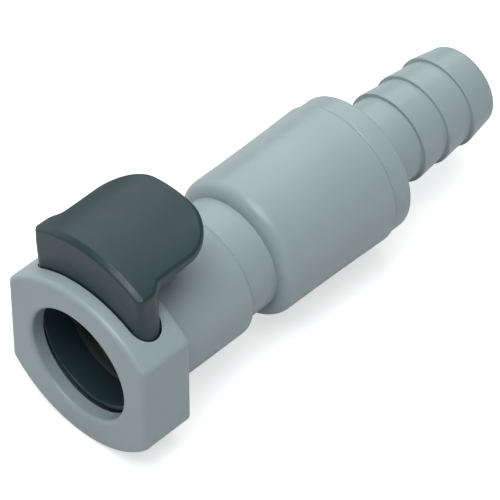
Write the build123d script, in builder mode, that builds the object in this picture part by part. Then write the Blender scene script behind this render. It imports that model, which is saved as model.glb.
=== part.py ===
"""Thumb-latch quick disconnect coupling body with a spring-loaded shut-off valve and a hose barb.

Frame: the origin is the centre of the socket mouth on the front face, +Y runs along the flow
axis towards the hose barb, +Z points to the thumb pad. Millimetres.
"""
import os
from math import sqrt

from build123d import *

# ---- flange that carries the latch ----
flange_width = 25.5          # across the side flats
flange_height = 26.0         # over the two arched faces
flange_top_radius = 17.5     # arch of the top face
flange_foot_radius = 16.5    # arch of the foot
foot_flat = 4.0              # width of the small flat that the foot stands on
flange_length = 8.9
flange_corner_radius = 1.2
flange_edge_radius = 0.75
mouth_bore = 17.45           # socket bore through the front rim
mouth_lead = 0.65            # rounding of the mouth's edge

# ---- neck and barrel, outside ----
neck_diameter = 19.5
neck_root_radius = 0.6
neck_end = 24.4
neck_end_radius = 1.2
waist_diameter = 17.25
barrel_front = 29.5
barrel_rear = 50.8
barrel_front_diameter = 21.55
barrel_rear_diameter = 22.2
barrel_front_radius = 1.9
barrel_rear_radius = 0.4
barrel_bow = 0.08            # how far the barrel's side is hollow between its two ends

# ---- flow path inside the housing ----
seal_bore = 15.0             # seals on the nose of the mating insert
seal_bore_start = 10.2
seal_bore_end = 22.0
throat_bore = 12.6           # bore that the poppet's wings slide in
seat_start = 29.5            # the 45 degree valve seat opens from the throat here
chamber_bore = 17.8          # valve chamber
guide_seat = 42.8            # step that the valve guide stands against
rear_bore = 18.6             # bore for the guide and the hose terminal's spigot

# ---- latch slot and thumb latch ----
slot_front = 2.3             # thickness of the rim in front of the slot
slot_width = 4.85
slot_span = 21.2             # across the slot's round ends
slot_floor = 11.6            # depth of the slot's round floor below the axis
latch_clearance = 0.2        # front and back of the latch plate
latch_side_clearance = 0.2
latch_travel = 1.4
latch_floor_clearance = 0.25
latch_hole = 17.9
plate_taper_start = 8.6      # the plate's ends lean in from here up
plate_taper_end = 14.8
plate_top_span = 20.0        # across the plate's ends under the pad
plate_end_radius = 2.2       # corners of the plate's ends in plan
plate_lip_radius = 0.9       # the front corners sharpen to this at the pad
pad_inset = 1.05             # the pad's sides stand in from the plate's ends by this
pad_length = 16.1            # from the plate's front face to the pad's rear edge
pad_front_arch = 18.9        # radius of the pad's arch at its front, middle and rear
pad_middle_arch = 18.5
pad_rear_arch = 16.5
lip_height = 19.5            # top of the front face, over the axis
lip_width = 0.8              # bevel between the front face and the pad's top
pad_front_height = 20.0      # heights of the pad's top over the axis
pad_middle_height = 20.05
pad_rear_height = 20.5
pad_front_thickness = 2.3
pad_middle_thickness = 1.3
pad_rear_thickness = 1.0
pad_waist_radius = 1.8       # where the plate's ends run into the pad's sides
pad_corner_radius = 5.8
pad_edge_radius = 0.7
lip_end_radius = 0.35
lug_reach = 0.75             # how far a retaining lug stands out of the plate's side
lug_height = 1.6
lug_width = 2.2
lug_top = 1.0
lug_clearance = 0.06

# ---- latch spring, between the neck and the pad ----
latch_spring_wire = 0.7
latch_spring_diameter = 5.2  # mean
latch_spring_turns = 4.5
latch_spring_place = 13.0    # along the axis
spring_seat_depth = 0.5      # flat seat sunk into the top of the neck
spring_post_diameter = 3.6   # post under the pad that centres the spring
spring_post_length = 1.7
spring_boss_height = 0.7     # flat boss between the post and the arched underside of the pad
spring_clearance = 0.05

# ---- poppet valve ----
poppet_travel = 4.0
guide_clearance = 0.07       # radial running clearance of the poppet in throat and hub
wing_count = 4
wing_thickness = 1.4
wing_start = 22.8
poppet_core = 4.4
poppet_lip_thickness = 0.75
poppet_disc_diameter = 15.8
poppet_disc_thickness = 1.5
poppet_stem = 3.2
poppet_stem_end = 46.6
seat_gap = 0.25              # between the poppet's lip and the seat, filled by the seal
poppet_seal_section = 1.2
poppet_seal_diameter = 14.4  # mean
seal_clearance = 0.02

valve_spring_wire = 0.9
valve_spring_diameter = 9.6  # mean
valve_spring_turns = 4.5
spring_land_height = 0.8     # shoulder on poppet and guide that centres the valve spring

# ---- valve guide ----
guide_thickness = 2.2
guide_ring_wall = 1.5
hub_diameter = 6.2
hub_length = 3.6
spoke_count = 3
spoke_thickness = 1.6
fit_clearance = 0.04         # radial, between the rear bore and what is fitted in it

# ---- hose terminal ----
flow_bore = 9.5
funnel_diameter = 14.6       # mouth of the flow bore behind the valve guide
funnel_length = 7.0
shoulder_diameter = 21.55
shoulder_length = 3.3
shoulder_edge_radius = 0.35
snap_bead_height = 0.25
snap_bead_width = 0.9
snap_bead_place = 1.3        # from the shoulder's front face to the middle of the bead
terminal_seal_section = 1.3
terminal_seal_place = 3.7    # from the shoulder's front face to the middle of the seal
stem_diameter = 13.2
ridge_diameter = 14.3        # for half inch hose
ridge_first = 61.0
ridge_pitch = 5.1
ridge_count = 3
ridge_land = 0.35            # short straight top of each ridge
valley_diameter = 13.3
barb_end = 76.5
barb_tip_diameter = 12.6
barb_tip_radius = 0.6
stem_root_radius = 0.5


def coil(wire, mean_diameter, length, turns):
    """Wire of a compression spring standing on z = 0, inside its free length."""
    rise = length - wire
    path = Helix(pitch=rise / turns, height=rise, radius=mean_diameter / 2)
    path = path.moved(Location((0, 0, wire / 2)))
    section = Plane(origin=path @ 0, z_dir=path % 0) * Circle(wire / 2)
    return sweep(section, path=path, is_frenet=True)


os.makedirs("parts", exist_ok=True)

front = Plane.XZ                             # its normal points along -Y
slot_middle = slot_front + slot_width / 2
slot_radius = slot_span / 2
slot_arc_height = slot_radius - slot_floor   # height of the centre of the slot's round floor
seat_end = seat_start + (chamber_bore - throat_bore) / 2
seat_offset = seat_start - throat_bore / 2   # on the seat's cone, y = radius + seat_offset

# ---- housing: flange, neck and barrel in one moulding ----
with BuildPart() as housing:
    half, top = flange_width / 2, flange_height / 2
    shoulder = top - flange_top_radius + sqrt(flange_top_radius**2 - half**2)
    foot_centre = sqrt(flange_foot_radius**2 - (foot_flat / 2) ** 2) - top
    foot_bottom = flange_foot_radius - foot_centre
    foot = sqrt(flange_foot_radius**2 - half**2) - foot_centre
    with BuildSketch(front):
        with BuildLine():
            ThreePointArc((-half, shoulder), (0, top), (half, shoulder))
            Line((half, shoulder), (half, -foot))
            ThreePointArc((half, -foot), (0, -foot_bottom), (-half, -foot))
            Line((-half, -foot), (-half, shoulder))
        make_face()
    extrude(amount=-flange_length)
    fillet(housing.edges().filter_by(Axis.Y), flange_corner_radius)
    rims = housing.faces().filter_by(Plane.XZ).edges()
    fillet(rims, flange_edge_radius)
    with BuildSketch(Plane.XY.offset(-top)):
        with Locations((0, flange_length / 2)):
            Rectangle(flange_width, 2 * flange_length)
    extrude(amount=-top, mode=Mode.SUBTRACT)

    # outside of the neck, the waist and the barrel
    neck, waist = neck_diameter / 2, waist_diameter / 2
    barrel_start = barrel_front_diameter / 2
    barrel_stop = barrel_rear_diameter / 2
    neck_run = neck_end - neck_end_radius
    front_run = barrel_front + barrel_front_radius
    rear_run = barrel_rear - barrel_rear_radius
    with BuildSketch(Plane.XY) as outside:
        with BuildLine():
            Line((0, flange_length - 1), (neck, flange_length - 1))
            Line((neck, flange_length - 1), (neck, neck_run))
            RadiusArc((neck, neck_run), (neck - neck_end_radius, neck_end), -neck_end_radius)
            Line((neck - neck_end_radius, neck_end), (waist, neck_end))
            Line((waist, neck_end), (waist, barrel_front))
            Line((waist, barrel_front), (barrel_start - barrel_front_radius, barrel_front))
            RadiusArc(
                (barrel_start - barrel_front_radius, barrel_front),
                (barrel_start, front_run),
                -barrel_front_radius,
            )
            ThreePointArc(
                (barrel_start, front_run),
                ((barrel_start + barrel_stop) / 2 - barrel_bow, (front_run + rear_run) / 2),
                (barrel_stop, rear_run),
            )
            RadiusArc(
                (barrel_stop, rear_run),
                (barrel_stop - barrel_rear_radius, barrel_rear),
                -barrel_rear_radius,
            )
            Line((barrel_stop - barrel_rear_radius, barrel_rear), (0, barrel_rear))
            Line((0, barrel_rear), (0, flange_length - 1))
        make_face()
    revolve(axis=Axis.Y)
    root = housing.edges().filter_by(GeomType.CIRCLE).filter_by(
        lambda e: abs(e.center().Y - flange_length) < 0.01 and abs(e.radius - neck) < 0.01
    )
    fillet(root, neck_root_radius)

    # socket, seal bore, throat, valve seat, chamber and rear bore in one turned cut
    lead = (mouth_bore - seal_bore) / 2
    bead_middle = barrel_rear - snap_bead_place
    with BuildSketch(Plane.XY) as inside:
        with BuildLine():
            Polyline(
                (0, -1),
                (mouth_bore / 2, -1),
                (mouth_bore / 2, seal_bore_start - lead),
                (seal_bore / 2, seal_bore_start),
                (seal_bore / 2, seal_bore_end),
                (throat_bore / 2, seal_bore_end),
                (throat_bore / 2, seat_start),
                (chamber_bore / 2, seat_end),
                (chamber_bore / 2, guide_seat),
                (rear_bore / 2, guide_seat),
                (rear_bore / 2, barrel_rear + 1),
                (0, barrel_rear + 1),
                close=True,
            )
        make_face()
    revolve(axis=Axis.Y, mode=Mode.SUBTRACT)
    mouth = housing.edges().filter_by(GeomType.CIRCLE).filter_by(
        lambda e: abs(e.center().Y) < 0.01 and abs(e.radius - mouth_bore / 2) < 0.01
    )
    fillet(mouth, mouth_lead)

    # groove that the terminal's snap bead clicks into
    with BuildSketch(Plane.XY) as bead_groove:
        with Locations((rear_bore / 2, bead_middle)):
            Rectangle(2 * (snap_bead_height + fit_clearance), snap_bead_width + 2 * fit_clearance)
    revolve(axis=Axis.Y, mode=Mode.SUBTRACT)

    # latch slot: round-ended in plan, open at the top, with a round floor
    slot_plane = Plane.XY.offset(slot_arc_height)
    with BuildSketch(slot_plane):
        with Locations((0, slot_middle)):
            SlotOverall(slot_span, slot_width)
    extrude(amount=flange_height, mode=Mode.SUBTRACT)
    with BuildSketch(slot_plane) as floor_section:
        with Locations((0, slot_middle)):
            SlotOverall(slot_span, slot_width)
        with Locations((-slot_span / 2, slot_middle)):
            Rectangle(slot_span, 2 * slot_width, mode=Mode.SUBTRACT)
    floor_axis = Axis((0, 0, slot_arc_height), (0, 1, 0))
    revolve(axis=floor_axis, revolution_arc=180, mode=Mode.SUBTRACT)

    # pockets in the slot's side walls that hold the latch's lugs
    pocket_height = lug_height + latch_travel + 2 * lug_clearance
    pocket_middle = lug_top + lug_clearance - pocket_height / 2
    pocket_reach = slot_span / 2 + lug_reach
    with Locations((0, slot_middle, pocket_middle)):
        Box(2 * pocket_reach, lug_width + 2 * latch_clearance, pocket_height, mode=Mode.SUBTRACT)

    # flat seat for the latch spring on top of the neck
    spring_floor = neck_diameter / 2 - spring_seat_depth
    spring_seat_diameter = latch_spring_diameter + latch_spring_wire + 4 * spring_clearance
    with BuildSketch(Plane.XY.offset(spring_floor)):
        with Locations((0, latch_spring_place)):
            Circle(spring_seat_diameter / 2)
    extrude(amount=flange_height, mode=Mode.SUBTRACT)
housing.part.label = "housing"
export_step(housing.part, "parts/housing.step")

# ---- thumb latch: plate with the insert's hole, pad and lugs in one moulding ----
plate_width = slot_width - 2 * latch_clearance
plate_span = slot_span - 2 * latch_side_clearance
plate_front = slot_front + latch_clearance
plate_arc_height = latch_travel + latch_floor_clearance - slot_floor + plate_span / 2
pad_rear = plate_front + pad_length
pad_front = plate_front + lip_width
pad_middle = (pad_front + pad_rear) / 2
pad_width = plate_top_span - 2 * pad_inset
arch_half = plate_span / 2 + 1
spring_ceiling = pad_middle_height - pad_middle_thickness - spring_boss_height


def arch_section(place, top, thickness, radius):
    """Cross-section of the pad's arched shell at one place along the axis."""
    bottom = top - thickness
    arch_drop = radius - sqrt(radius**2 - arch_half**2)
    with BuildSketch(Plane.XZ.offset(-place)) as section:
        with BuildLine():
            ThreePointArc((-arch_half, top - arch_drop), (0, top), (arch_half, top - arch_drop))
            Line((arch_half, top - arch_drop), (arch_half, bottom - arch_drop))
            ThreePointArc((arch_half, bottom - arch_drop), (0, bottom), (-arch_half, bottom - arch_drop))
            Line((-arch_half, bottom - arch_drop), (-arch_half, top - arch_drop))
        make_face()
    return section.sketch


def plate_outline(span, front_radius):
    """Outline of the latch plate in plan, with its own radius on the two front corners."""
    with BuildSketch(Plane.XY) as outline:
        with Locations((0, slot_middle)):
            Rectangle(span, plate_width)
        fillet(outline.vertices().group_by(Axis.Y)[-1], plate_end_radius)
        fillet(outline.vertices().group_by(Axis.Y)[0], front_radius)
    return outline.sketch


lip_thickness = pad_front_thickness - (pad_front_height - lip_height)
lip_section = arch_section(plate_front, lip_height, lip_thickness, pad_front_arch)
front_section = arch_section(pad_front, pad_front_height, pad_front_thickness, pad_front_arch)
middle_section = arch_section(pad_middle, pad_middle_height, pad_middle_thickness, pad_middle_arch)
rear_section = arch_section(pad_rear, pad_rear_height, pad_rear_thickness, pad_rear_arch)

# outline of the pad in plan: the plate's round ends run into narrower sides and a round rear
with BuildSketch(Plane.XY) as pad_outline:
    add(plate_outline(plate_top_span, plate_lip_radius))
    with Locations((0, (slot_middle + pad_rear) / 2)):
        Rectangle(pad_width, pad_rear - slot_middle)
    fillet(pad_outline.vertices().group_by(Axis.Y)[-1], pad_corner_radius)
    waist_corners = pad_outline.vertices().filter_by(
        lambda v: abs(abs(v.X) - pad_width / 2) < 0.01 and v.Y < pad_middle
    )
    fillet(waist_corners, pad_waist_radius)

# the pad: an arched shell that thins and rises towards its rear edge
with BuildPart() as pad:
    add(loft([front_section, middle_section, rear_section], mode=Mode.PRIVATE))
    add(pad_outline.sketch)
    extrude(amount=flange_height, mode=Mode.INTERSECT)
    crown = pad.faces().filter_by(lambda f: f.normal_at().Z > 0.7).sort_by(Axis.Z)[-1]
    fillet(crown.edges().filter_by(lambda e: e.center().Y > pad_front + 0.1), pad_edge_radius)

# bevelled lip between the plate's front face and the pad
with BuildPart() as lip:
    add(loft([lip_section, front_section], ruled=True, mode=Mode.PRIVATE))
    add(pad_outline.sketch)
    extrude(amount=flange_height, mode=Mode.INTERSECT)
    bevel = lip.faces().filter_by(lambda f: f.normal_at().Z > 0.3).sort_by(Axis.Z)[-1]
    ends = bevel.edges().filter_by(lambda e: abs(e.center().X) > plate_top_span / 4)
    fillet(ends, lip_end_radius)

with BuildPart() as thumb_latch:
    # the plate, up to the underside of the pad
    lower = plate_outline(plate_span, plate_end_radius)
    upper = plate_outline(plate_top_span, plate_lip_radius)
    lower_end = Location((0, 0, plate_taper_start))
    upper_end = Location((0, 0, plate_taper_end))
    add(extrude(lower.moved(Location((0, 0, plate_arc_height))), plate_taper_start - plate_arc_height,
                (0, 0, 1), mode=Mode.PRIVATE))
    add(loft([lower.moved(lower_end), upper.moved(upper_end)], ruled=True, mode=Mode.PRIVATE))
    add(extrude(upper.moved(upper_end), lip_height - plate_taper_end, (0, 0, 1), mode=Mode.PRIVATE))
    plate_crown = lip_height - pad_front_thickness / 2
    arch_drop = pad_front_arch - sqrt(pad_front_arch**2 - arch_half**2)
    with BuildSketch(front):
        with BuildLine():
            ThreePointArc(
                (-arch_half, plate_crown - arch_drop),
                (0, plate_crown),
                (arch_half, plate_crown - arch_drop),
            )
            Line((arch_half, plate_crown - arch_drop), (arch_half, flange_height))
            Line((arch_half, flange_height), (-arch_half, flange_height))
            Line((-arch_half, flange_height), (-arch_half, plate_crown - arch_drop))
        make_face()
    extrude(amount=-flange_length, mode=Mode.SUBTRACT)
    with BuildSketch(Plane.XY.offset(plate_arc_height)):
        add(lower)
        with Locations((-slot_span / 2, slot_middle)):
            Rectangle(slot_span, 2 * slot_width, mode=Mode.SUBTRACT)
    revolve(axis=Axis((0, 0, plate_arc_height), (0, 1, 0)), revolution_arc=180)

    add(pad.part)
    add(lip.part)

    # lugs that stop the latch at the top of its travel
    with Locations((0, slot_middle, lug_top - lug_height / 2)):
        Box(plate_span + 2 * lug_reach, lug_width, lug_height)

    # hole for the insert, on the axis when the latch is pressed
    with BuildSketch(front):
        with Locations((0, latch_travel)):
            Circle(latch_hole / 2)
    extrude(amount=-flange_length, mode=Mode.SUBTRACT)

    # boss and post that hold the spring under the pad
    with BuildSketch(Plane.XY.offset(spring_ceiling)):
        with Locations((0, latch_spring_place)):
            Circle(spring_seat_diameter / 2)
    extrude(amount=spring_boss_height + pad_rear_thickness / 2)
    with BuildSketch(Plane.XY.offset(spring_ceiling - spring_post_length)):
        with Locations((0, latch_spring_place)):
            Circle(spring_post_diameter / 2)
    extrude(amount=spring_post_length + spring_boss_height)
thumb_latch.part.label = "thumb_latch"
export_step(thumb_latch.part, "parts/thumb_latch.step")


# ---- latch spring ----
latch_spring_length = spring_ceiling - spring_floor - 2 * spring_clearance
latch_coil = coil(latch_spring_wire, latch_spring_diameter, latch_spring_length, latch_spring_turns)
with BuildPart() as latch_spring:
    add(latch_coil.moved(Location((0, latch_spring_place, spring_floor + spring_clearance))))
latch_spring.part.label = "latch_spring"
export_step(latch_spring.part, "parts/latch_spring.step")

# ---- poppet: wings, lip, disc and stem in one moulding ----
seal_radius = poppet_seal_section / 2
seal_ring = poppet_seal_diameter / 2
seal_middle = seal_ring + seat_offset + (seal_radius + seal_clearance) * sqrt(2)
groove_floor = seal_ring - seal_radius - seal_clearance
groove_front = seal_middle - seal_radius - seal_clearance
groove_back = seal_middle + seal_radius + seal_clearance
lip_front = groove_front - poppet_lip_thickness
lip_radius = groove_front - seat_offset - seat_gap * sqrt(2)
disc_back = groove_back + poppet_disc_thickness
spring_land = valve_spring_diameter - valve_spring_wire - 4 * spring_clearance
wing_reach = throat_bore / 2 - guide_clearance
with BuildPart() as poppet:
    with BuildSketch(Plane.XY):
        with BuildLine():
            Polyline(
                (0, wing_start),
                (poppet_core / 2, wing_start),
                (poppet_core / 2, lip_front),
                (lip_radius - poppet_lip_thickness, lip_front),
                (lip_radius, groove_front),
                (groove_floor, groove_front),
                (groove_floor, groove_back),
                (poppet_disc_diameter / 2, groove_back),
                (poppet_disc_diameter / 2, disc_back),
                (spring_land / 2, disc_back),
                (spring_land / 2, disc_back + spring_land_height),
                (poppet_stem / 2, disc_back + spring_land_height),
                (poppet_stem / 2, poppet_stem_end),
                (0, poppet_stem_end),
                close=True,
            )
        make_face()
    revolve(axis=Axis.Y)
    with BuildSketch(Plane.XZ.offset(-wing_start)):
        with PolarLocations(wing_reach / 2, wing_count, start_angle=180 / wing_count):
            Rectangle(wing_reach, wing_thickness)
        Circle(wing_reach, mode=Mode.INTERSECT)
    extrude(amount=wing_start - lip_front)
poppet.part.label = "poppet"
export_step(poppet.part, "parts/poppet.step")

# ---- poppet seal, an O-ring against the valve seat ----
with BuildPart() as poppet_seal:
    with BuildSketch(Plane.XY):
        with Locations((seal_ring, seal_middle)):
            Circle(seal_radius)
    revolve(axis=Axis.Y)
poppet_seal.part.label = "poppet_seal"
export_step(poppet_seal.part, "parts/poppet_seal.step")

# ---- valve spring, between the poppet's disc and the guide ----
valve_spring_length = guide_seat - disc_back - 2 * spring_clearance
valve_coil = coil(valve_spring_wire, valve_spring_diameter, valve_spring_length, valve_spring_turns)
valve_coil = valve_coil.rotate(Axis.X, -90)
with BuildPart() as valve_spring:
    add(valve_coil.moved(Location((0, disc_back + spring_clearance, 0))))
valve_spring.part.label = "valve_spring"
export_step(valve_spring.part, "parts/valve_spring.step")

# ---- valve guide: a ring on spokes whose hub carries the poppet's stem ----
guide_radius = rear_bore / 2 - fit_clearance
guide_window = guide_radius - guide_ring_wall
guide_back = guide_seat + guide_thickness
with BuildPart() as valve_guide:
    with BuildSketch(Plane.XZ.offset(-guide_seat)):
        Circle(guide_radius)
        Circle(guide_window, mode=Mode.SUBTRACT)
        with PolarLocations(guide_radius / 2, spoke_count, start_angle=90):
            Rectangle(guide_radius - guide_ring_wall / 2, spoke_thickness)
    extrude(amount=-guide_thickness)
    with BuildSketch(Plane.XZ.offset(-guide_seat)):
        Circle(hub_diameter / 2)
    extrude(amount=-hub_length)
    with BuildSketch(Plane.XZ.offset(-guide_seat)):
        Circle(spring_land / 2)
    extrude(amount=spring_land_height)
    with BuildSketch(Plane.XZ.offset(spring_land_height - guide_seat)):
        Circle(poppet_stem / 2 + guide_clearance)
    extrude(amount=-hub_length - spring_land_height, mode=Mode.SUBTRACT)
valve_guide.part.label = "valve_guide"
export_step(valve_guide.part, "parts/valve_guide.step")

# ---- hose barb: spigot, shoulder and barbed stem in one moulding ----
spigot = rear_bore / 2 - fit_clearance
terminal_seal_radius = terminal_seal_section / 2
terminal_seal_ring = rear_bore / 2 - terminal_seal_radius - seal_clearance
terminal_groove = terminal_seal_ring - terminal_seal_radius - seal_clearance
terminal_seal_middle = barrel_rear - terminal_seal_place
groove_half = terminal_seal_radius + seal_clearance
bead_half = snap_bead_width / 2
shoulder_back = barrel_rear + shoulder_length
ridge_radius = ridge_diameter / 2
ridges = []
for number in range(ridge_count):
    start = ridge_first + number * ridge_pitch
    foot = stem_diameter / 2 if number == 0 else valley_diameter / 2
    ridges += [(foot, start), (ridge_radius, start), (ridge_radius, start + ridge_land)]
with BuildPart() as hose_barb:
    with BuildSketch(Plane.XY) as barb_section:
        with BuildLine():
            Polyline(
                (0, guide_back),
                (spigot, guide_back),
                (spigot, terminal_seal_middle - groove_half),
                (terminal_groove, terminal_seal_middle - groove_half),
                (terminal_groove, terminal_seal_middle + groove_half),
                (spigot, terminal_seal_middle + groove_half),
                (spigot, bead_middle - bead_half),
                (spigot + snap_bead_height, bead_middle),
                (spigot, bead_middle + bead_half),
                (spigot, barrel_rear),
                (shoulder_diameter / 2, barrel_rear),
                (shoulder_diameter / 2, shoulder_back),
                (stem_diameter / 2, shoulder_back),
                *ridges,
                (barb_tip_diameter / 2, barb_end),
                (0, barb_end),
                close=True,
            )
        make_face()
    revolve(axis=Axis.Y)
    circles = hose_barb.edges().filter_by(GeomType.CIRCLE)
    shoulder_rims = circles.filter_by(lambda e: abs(e.radius - shoulder_diameter / 2) < 0.01)
    fillet(shoulder_rims, shoulder_edge_radius)
    circles = hose_barb.edges().filter_by(GeomType.CIRCLE)
    tip = circles.filter_by(lambda e: abs(e.center().Y - barb_end) < 0.01)
    fillet(tip, barb_tip_radius)
    circles = hose_barb.edges().filter_by(GeomType.CIRCLE)
    stem_root = circles.filter_by(
        lambda e: abs(e.center().Y - shoulder_back) < 0.01
        and abs(e.radius - stem_diameter / 2) < 0.01
    )
    fillet(stem_root, stem_root_radius)
    # flow bore, opening in a funnel behind the valve guide
    with BuildSketch(Plane.XY):
        with BuildLine():
            Polyline(
                (0, guide_back - 1),
                (funnel_diameter / 2, guide_back - 1),
                (funnel_diameter / 2, guide_back),
                (flow_bore / 2, guide_back + funnel_length),
                (flow_bore / 2, barb_end + 1),
                (0, barb_end + 1),
                close=True,
            )
        make_face()
    revolve(axis=Axis.Y, mode=Mode.SUBTRACT)
hose_barb.part.label = "hose_barb"
export_step(hose_barb.part, "parts/hose_barb.step")

# ---- terminal seal, an O-ring round the barb's spigot ----
with BuildPart() as terminal_seal:
    with BuildSketch(Plane.XY):
        with Locations((terminal_seal_ring, terminal_seal_middle)):
            Circle(terminal_seal_radius)
    revolve(axis=Axis.Y)
terminal_seal.part.label = "terminal_seal"
export_step(terminal_seal.part, "parts/terminal_seal.step")
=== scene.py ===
import bpy
from mathutils import Matrix, Vector


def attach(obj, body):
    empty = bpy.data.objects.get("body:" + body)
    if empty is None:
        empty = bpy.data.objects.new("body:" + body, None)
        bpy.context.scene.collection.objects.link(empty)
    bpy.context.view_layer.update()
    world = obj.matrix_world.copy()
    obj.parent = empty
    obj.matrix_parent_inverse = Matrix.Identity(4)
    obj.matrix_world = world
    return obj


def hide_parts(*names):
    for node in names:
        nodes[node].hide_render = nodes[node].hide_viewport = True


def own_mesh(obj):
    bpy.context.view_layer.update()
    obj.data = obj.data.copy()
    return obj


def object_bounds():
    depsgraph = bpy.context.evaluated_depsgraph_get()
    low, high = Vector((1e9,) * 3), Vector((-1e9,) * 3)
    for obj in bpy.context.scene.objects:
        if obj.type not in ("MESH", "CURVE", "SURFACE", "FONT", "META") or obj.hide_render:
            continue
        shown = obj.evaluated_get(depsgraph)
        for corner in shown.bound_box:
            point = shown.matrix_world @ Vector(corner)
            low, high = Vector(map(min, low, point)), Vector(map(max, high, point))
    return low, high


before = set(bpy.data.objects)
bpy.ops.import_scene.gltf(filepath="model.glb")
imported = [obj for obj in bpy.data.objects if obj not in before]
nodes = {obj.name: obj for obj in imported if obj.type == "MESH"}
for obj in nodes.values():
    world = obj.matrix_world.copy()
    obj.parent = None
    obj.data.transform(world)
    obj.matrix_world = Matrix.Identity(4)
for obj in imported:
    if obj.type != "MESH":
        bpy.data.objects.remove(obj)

# Finishes, springs, light and camera for the quick disconnect coupling.
# Lengths are in metres, and noise scales in features per metre.
cad_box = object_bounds()
scene = bpy.context.scene


def srgb(r, g, b):
    """Linear colour of an 8-bit screen colour."""
    values = []
    for v in (r / 255, g / 255, b / 255):
        values.append(v / 12.92 if v <= 0.04045 else ((v + 0.055) / 1.055) ** 2.4)
    return values


# ---- finishes ----
noise_low = 0.3          # most values of a noise texture lie between these two
noise_high = 0.7

flow_scale = 90          # flow marks in a moulding's colour
gloss_scale = 700        # patches in its gloss
grain_strength = 0.35
coat_roughness = 0.09
edge_samples = 6         # of the node that rounds the edges

body_look = dict(
    tones=(srgb(164, 181, 184), srgb(168, 185, 188)),
    rough=(0.36, 0.46),
    grain=4500,
    depth=0.00001,
    specular=0.4,
    coat=0.25,
    edge=0.00015,
)
latch_look = dict(
    tones=(srgb(44, 66, 71), srgb(48, 70, 75)),
    rough=(0.33, 0.41),
    grain=4000,
    depth=0.000008,
    specular=0.48,
    edge=0.0003,
)
valve_look = dict(
    tones=(srgb(46, 50, 51), srgb(52, 56, 57)),
    rough=(0.4, 0.52),
    grain=4000,
    depth=0.00001,
    specular=0.35,
)

# Painted shade: past a depth, the colour of the socket's inside and of the seal bore behind it is
# darkened, standing in for the shade deep in the bore.
# The inside of the socket is near black in the photograph. Y runs along its bore.
bore_shade_tone = srgb(84, 88, 88)
shade_start = 0.006      # y at which the dark sets in, inside the latch's slot
shade_full = 0.0085
socket_reach = 0.0088    # radius that the dark fills, a little over the socket's own
bore_reach = 0.0077      # the same for the seal bore, so that the waist outside stays pale
narrowing_start = 0.012  # y between which the one radius passes into the other
narrowing_end = 0.014
shade_border = 0.0002


def own_place(tree):
    """The object's own coordinates."""
    return tree.nodes.new("ShaderNodeTexCoord").outputs["Object"]


def new_material(name):
    """A node material with its tree, its Principled shader and the object's own coordinates."""
    material = bpy.data.materials.new(name)
    material.use_nodes = True
    tree = material.node_tree
    return material, tree, tree.nodes["Principled BSDF"], own_place(tree)


def noise(tree, where, scale, detail=2.0, rough=0.5):
    """A noise texture."""
    node = tree.nodes.new("ShaderNodeTexNoise")
    node.inputs["Scale"].default_value = scale
    node.inputs["Detail"].default_value = detail
    node.inputs["Roughness"].default_value = rough
    tree.links.new(where, node.inputs["Vector"])
    return node.outputs["Fac"]


def spread(tree, value, low, high, start=noise_low, stop=noise_high):
    """Maps the range from start to stop, at first that of a noise, to the range from low to high."""
    node = tree.nodes.new("ShaderNodeMapRange")
    node.inputs["From Min"].default_value = start
    node.inputs["From Max"].default_value = stop
    node.inputs["To Min"].default_value = low
    node.inputs["To Max"].default_value = high
    tree.links.new(value, node.inputs["Value"])
    return node.outputs["Result"]


def blend_colours(tree, value, dark, light):
    """Colour between two tones by a noise value."""
    node = tree.nodes.new("ShaderNodeValToRGB")
    for end, position, tone in zip(node.color_ramp.elements, (noise_low, noise_high), (dark, light)):
        end.position = position
        end.color = (*tone, 1)
    tree.links.new(value, node.inputs["Fac"])
    return node.outputs["Color"]


def calculate(tree, operation, first, second):
    """A sum, product or the like of two values."""
    node = tree.nodes.new("ShaderNodeMath")
    node.operation = operation
    tree.links.new(first, node.inputs[0])
    tree.links.new(second, node.inputs[1])
    return node.outputs["Value"]


def distance(tree, where, axes=(1, 1, 1)):
    """Distance from the origin, counting only the axes that are 1."""
    chosen = tree.nodes.new("ShaderNodeVectorMath")
    chosen.operation = "MULTIPLY"
    chosen.inputs[1].default_value = axes
    tree.links.new(where, chosen.inputs[0])
    length = tree.nodes.new("ShaderNodeVectorMath")
    length.operation = "LENGTH"
    tree.links.new(chosen.outputs["Vector"], length.inputs[0])
    return length.outputs["Value"]


def relief(tree, height, shader, depth, strength, edge=0.0):
    """Surface relief of a depth; edge is a small radius that rounds the edges under it."""
    node = tree.nodes.new("ShaderNodeBump")
    if edge:
        rounding = tree.nodes.new("ShaderNodeBevel")
        rounding.samples = edge_samples
        rounding.inputs["Radius"].default_value = edge
        tree.links.new(rounding.outputs["Normal"], node.inputs["Normal"])
    node.inputs["Strength"].default_value = strength
    node.inputs["Distance"].default_value = depth
    tree.links.new(height, node.inputs["Height"])
    tree.links.new(node.outputs["Normal"], shader.inputs["Normal"])


def moulded(name, tones, rough, grain, depth, specular, coat=0.0, edge=0.0):
    """Moulded plastic: faint flow marks in its colour and gloss, and a fine satin grain."""
    material, tree, shader, where = new_material(name)
    flow = noise(tree, where, flow_scale, detail=3)
    tree.links.new(blend_colours(tree, flow, *tones), shader.inputs["Base Color"])
    gloss = noise(tree, where, gloss_scale, detail=3)
    tree.links.new(spread(tree, gloss, *rough), shader.inputs["Roughness"])
    satin = noise(tree, where, grain, detail=3, rough=0.6)
    relief(tree, satin, shader, depth, grain_strength, edge)
    shader.inputs["Specular IOR Level"].default_value = specular
    shader.inputs["Coat Weight"].default_value = coat
    shader.inputs["Coat Roughness"].default_value = coat_roughness
    return material


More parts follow.
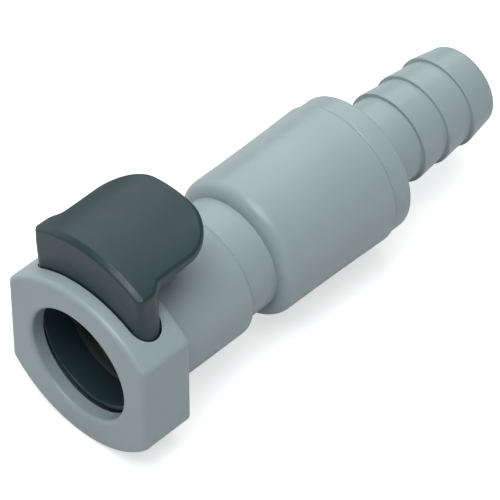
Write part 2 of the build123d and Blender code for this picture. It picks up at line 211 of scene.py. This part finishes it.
def paint_bore_shade(material):
    """Paints shade into a moulded material's colour inside the socket and the narrower seal bore
    behind it.
    """
    tree = material.node_tree
    base = tree.nodes["Principled BSDF"].inputs["Base Color"]
    where = own_place(tree)
    split = tree.nodes.new("ShaderNodeSeparateXYZ")
    tree.links.new(where, split.inputs["Vector"])
    along = split.outputs["Y"]
    radius = distance(tree, where, axes=(1, 0, 1))
    reach = spread(tree, along, socket_reach, bore_reach, narrowing_start, narrowing_end)
    past_reach = calculate(tree, "SUBTRACT", radius, reach)
    inside = spread(tree, past_reach, 1, 0, start=0, stop=shade_border)
    deep = spread(tree, along, 0, 1, shade_start, shade_full)
    mix = tree.nodes.new("ShaderNodeMix")
    mix.data_type = "RGBA"
    plain, shaded, result = mix.inputs[6], mix.inputs[7], mix.outputs[2]   # its colour sockets
    shaded.default_value = (*bore_shade_tone, 1)
    tree.links.new(base.links[0].from_socket, plain)
    tree.links.new(calculate(tree, "MULTIPLY", inside, deep), mix.inputs["Factor"])
    tree.links.new(result, base)


def drawn_wire():
    """Bright drawn spring wire."""
    material, tree, shader, where = new_material("spring_wire")
    shader.inputs["Metallic"].default_value = 1.0
    drawn = noise(tree, where, scale=2500, detail=4)
    tone = blend_colours(tree, drawn, srgb(176, 178, 180), srgb(198, 199, 200))
    tree.links.new(tone, shader.inputs["Base Color"])
    tree.links.new(spread(tree, drawn, low=0.22, high=0.36), shader.inputs["Roughness"])
    relief(tree, drawn, shader, depth=0.000004, strength=0.3)
    return material


def soft_rubber():
    """Dark nitrile rubber with a faint bloom."""
    material, tree, shader, where = new_material("seal_rubber_dark")
    bloom = noise(tree, where, scale=400, detail=3)
    tone = blend_colours(tree, bloom, srgb(30, 31, 31), srgb(38, 39, 39))
    tree.links.new(tone, shader.inputs["Base Color"])
    tree.links.new(spread(tree, bloom, low=0.5, high=0.65), shader.inputs["Roughness"])
    skin = noise(tree, where, scale=5000)
    relief(tree, skin, shader, depth=0.00001, strength=0.3)
    return material


housing_plastic = moulded("housing_plastic", **body_look)
# painted shade inside the housing's bore
paint_bore_shade(housing_plastic)
valve_plastic = moulded("valve_plastic_grey", **valve_look)
wire = drawn_wire()
rubber = soft_rubber()

finishes = {
    "housing": housing_plastic,
    "hose_barb": moulded("body_plastic", **body_look),
    "thumb_latch": moulded("latch_plastic_dark", **latch_look),
    "poppet": valve_plastic,
    "valve_guide": valve_plastic,
    "latch_spring": wire,
    "valve_spring": wire,
    "poppet_seal": rubber,
    "terminal_seal": rubber,
}
for name, finish in finishes.items():
    materials = nodes[name].data.materials
    materials.clear()
    materials.append(finish)


# ---- springs ----
def compressing(node_name):
    """A copy of a coil spring's mesh, carried with the housing in place of the spring's own node."""
    node = nodes[node_name]
    spring = bpy.data.objects.new(node_name + "_coil", node.data.copy())
    scene.collection.objects.link(spring)
    spring.matrix_world = node.matrix_world.copy()
    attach(spring, "housing")
    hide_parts(node_name)
    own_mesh(spring)


compressing("latch_spring")
compressing("valve_spring")


# ---- floor and surround, which show white to the camera ----
def seen_directly(tree):
    """1 for what the camera sees, also through something clear, and 0 for light and reflections."""
    rays = tree.nodes.new("ShaderNodeLightPath")
    camera_ray, clear_ray = rays.outputs["Is Camera Ray"], rays.outputs["Is Transmission Ray"]
    return calculate(tree, "MAXIMUM", camera_ray, clear_ray)


floor_size = 6
floor_gap = 0.00002      # under the object's foot
floor_tone = (0.72, 0.73, 0.73)
near_glow = 0.62         # with the lamps' light this makes white, and leaves the shadow
far_glow = 1.0           # out of the lamps' reach
near_end = 0.3           # distances from the origin between which the glow rises
far_start = 1.2

floor_place = (0, 0, cad_box[0][2] - floor_gap)
bpy.ops.mesh.primitive_plane_add(size=floor_size, location=floor_place)
floor = bpy.context.object
floor.name = "floor"
floor_material = bpy.data.materials.new("pale_floor")
floor_material.use_nodes = True
tree = floor_material.node_tree
tree.nodes.clear()
paper = tree.nodes.new("ShaderNodeBsdfDiffuse")
paper.inputs["Color"].default_value = (*floor_tone, 1)
away = distance(tree, own_place(tree))
fill = spread(tree, away, near_glow, far_glow, near_end, far_start)
glow = tree.nodes.new("ShaderNodeEmission")
tree.links.new(calculate(tree, "MULTIPLY", seen_directly(tree), fill), glow.inputs["Strength"])
both = tree.nodes.new("ShaderNodeAddShader")
tree.links.new(paper.outputs["BSDF"], both.inputs[0])
tree.links.new(glow.outputs["Emission"], both.inputs[1])
out = tree.nodes.new("ShaderNodeOutputMaterial")
tree.links.new(both.outputs["Shader"], out.inputs["Surface"])
floor.data.materials.append(floor_material)

surround_tone = (0.93, 0.98, 1.0)
surround_strength = 0.03

scene.world = bpy.data.worlds.new("studio")
scene.world.use_nodes = True
tree = scene.world.node_tree
tree.nodes.clear()
backdrop = tree.nodes.new("ShaderNodeMixShader")
tree.links.new(seen_directly(tree), backdrop.inputs["Fac"])
for socket, tone, strength in ((1, surround_tone, surround_strength), (2, (1, 1, 1), 1.0)):
    background = tree.nodes.new("ShaderNodeBackground")
    background.inputs["Color"].default_value = (*tone, 1)
    background.inputs["Strength"].default_value = strength
    tree.links.new(background.outputs["Background"], backdrop.inputs[socket])
out = tree.nodes.new("ShaderNodeOutputWorld")
tree.links.new(backdrop.outputs["Shader"], out.inputs["Surface"])


# ---- lamps ----
lamp_target = Vector((0, 0.035, 0))   # middle of the object


def soft_lamp(name, direction, size, power, away=1.0):
    """A square area lamp, placed in that direction from the target and facing it."""
    lamp = bpy.data.lights.new(name, "AREA")
    lamp.shape = "SQUARE"
    lamp.size = size
    lamp.energy = power
    holder = bpy.data.objects.new(name, lamp)
    scene.collection.objects.link(holder)
    holder.location = lamp_target + Vector(direction).normalized() * away
    holder.rotation_euler = (holder.location - lamp_target).to_track_quat("Z", "Y").to_euler()


soft_lamp("top_lamp", (0.2, -0.12, 1.0), size=0.8, power=7.2)
soft_lamp("back_left_lamp", (-0.55, 0.5, 0.68), size=0.9, power=3.3)
soft_lamp("left_lamp", (-0.9, -0.1, 0.3), size=0.8, power=1.6)
soft_lamp("front_left_lamp", (-0.55, -0.8, 0.25), size=0.8, power=0.1)
soft_lamp("front_lamp", (0.1, -0.47, 0.86), size=0.35, power=1.5)
soft_lamp("glint_lamp", (0.03, -0.82, 0.5), size=0.02, power=0.2, away=0.7)


# ---- camera, as fitted to the photograph ----
camera_data = bpy.data.cameras.new("camera")
camera_data.sensor_width = 36
camera_data.lens = 259.6
camera_data.clip_start = 0.01
camera = bpy.data.objects.new("camera", camera_data)
scene.collection.objects.link(camera)
camera_place = Vector((0.241049, -0.216732, 0.351071))
right = Vector((0.717696, 0.696351, 0.002728))
up = Vector((-0.498040, 0.510560, 0.700917))
back = Vector((0.486691, -0.504405, 0.713237))
turn = Matrix((right, up, back)).transposed().to_4x4()
camera.matrix_world = Matrix.Translation(camera_place) @ turn
scene.camera = camera
scene.view_settings.view_transform = "Standard"
